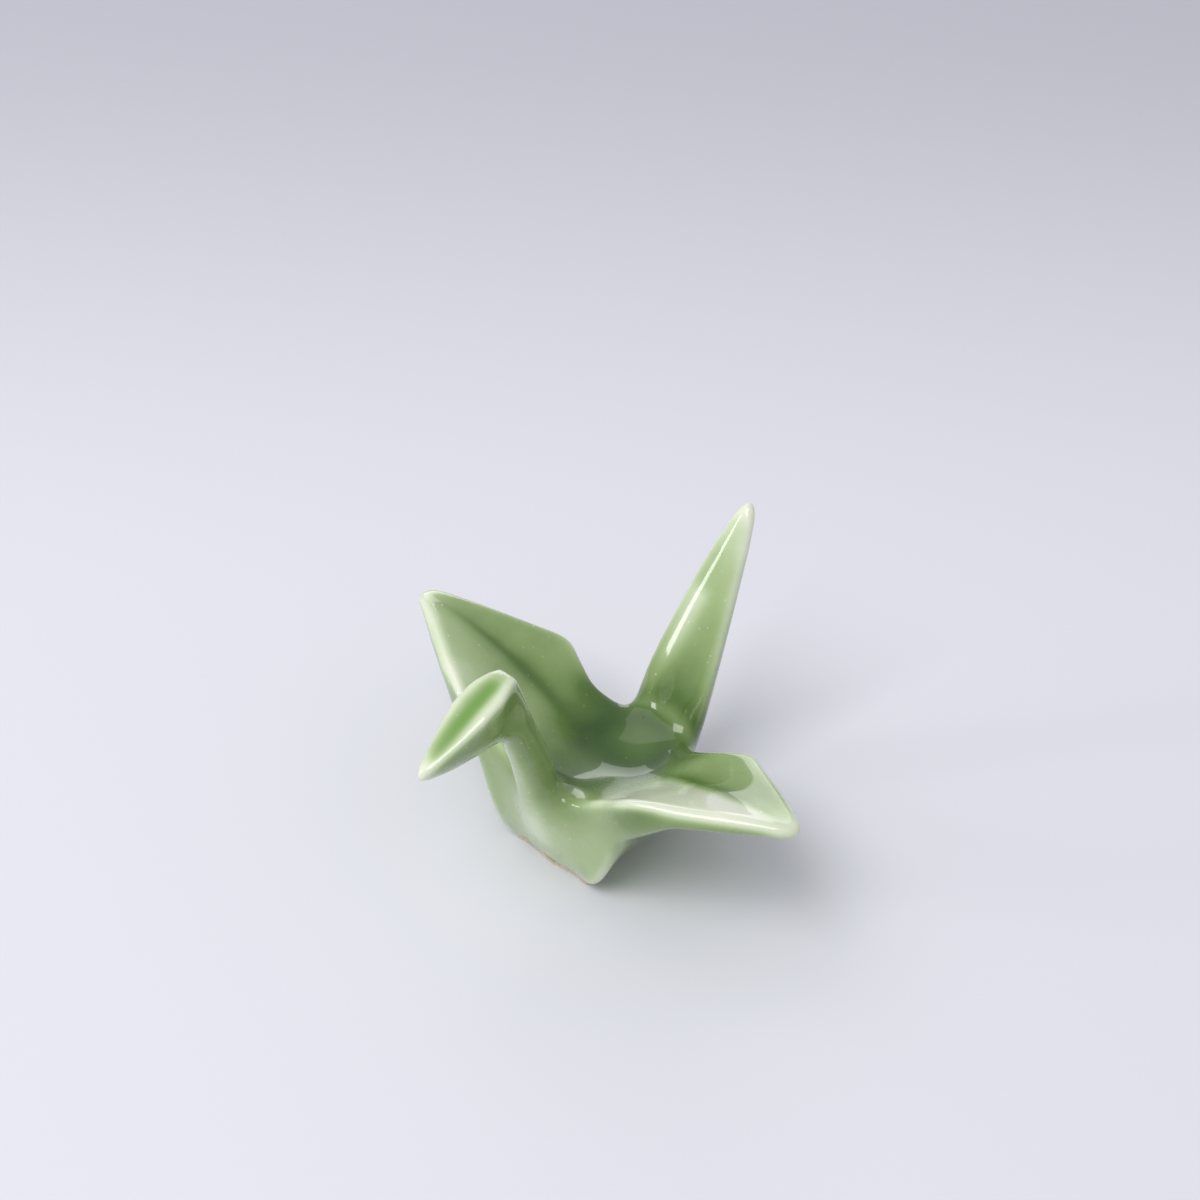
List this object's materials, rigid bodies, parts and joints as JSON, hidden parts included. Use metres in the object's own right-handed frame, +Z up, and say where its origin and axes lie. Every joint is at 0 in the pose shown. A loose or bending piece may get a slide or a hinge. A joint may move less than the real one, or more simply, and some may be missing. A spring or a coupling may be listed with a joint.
{
  "type": "chopstick rest",
  "caption": "Chopstick rest shaped as a folded paper crane: sticks lie in the saddle between its raised wings, neck and tail, and it stands on a flat foot.",
  "frame": {"origin": "middle of the flat foot's underside, on the table", "axes": "+X towards the beak, +Y towards the crane's left wing tip, +Z up"},
  "size_m": [0.0614, 0.0676, 0.0393],
  "materials": {
    "celadon_glaze": "glossy celadon glaze, pale where it thins over edges and deep green where it pools in the folds",
    "bare_clay": "unglazed fired porcelain, matt, warm buff"
  },
  "bodies": {
    "root": {"body": "celadon_glaze", "neck": "celadon_glaze", "head": "celadon_glaze", "tail": "celadon_glaze", "left_wing": "celadon_glaze", "right_wing": "celadon_glaze", "foot": "bare_clay"}
  },
  "joints": []
}
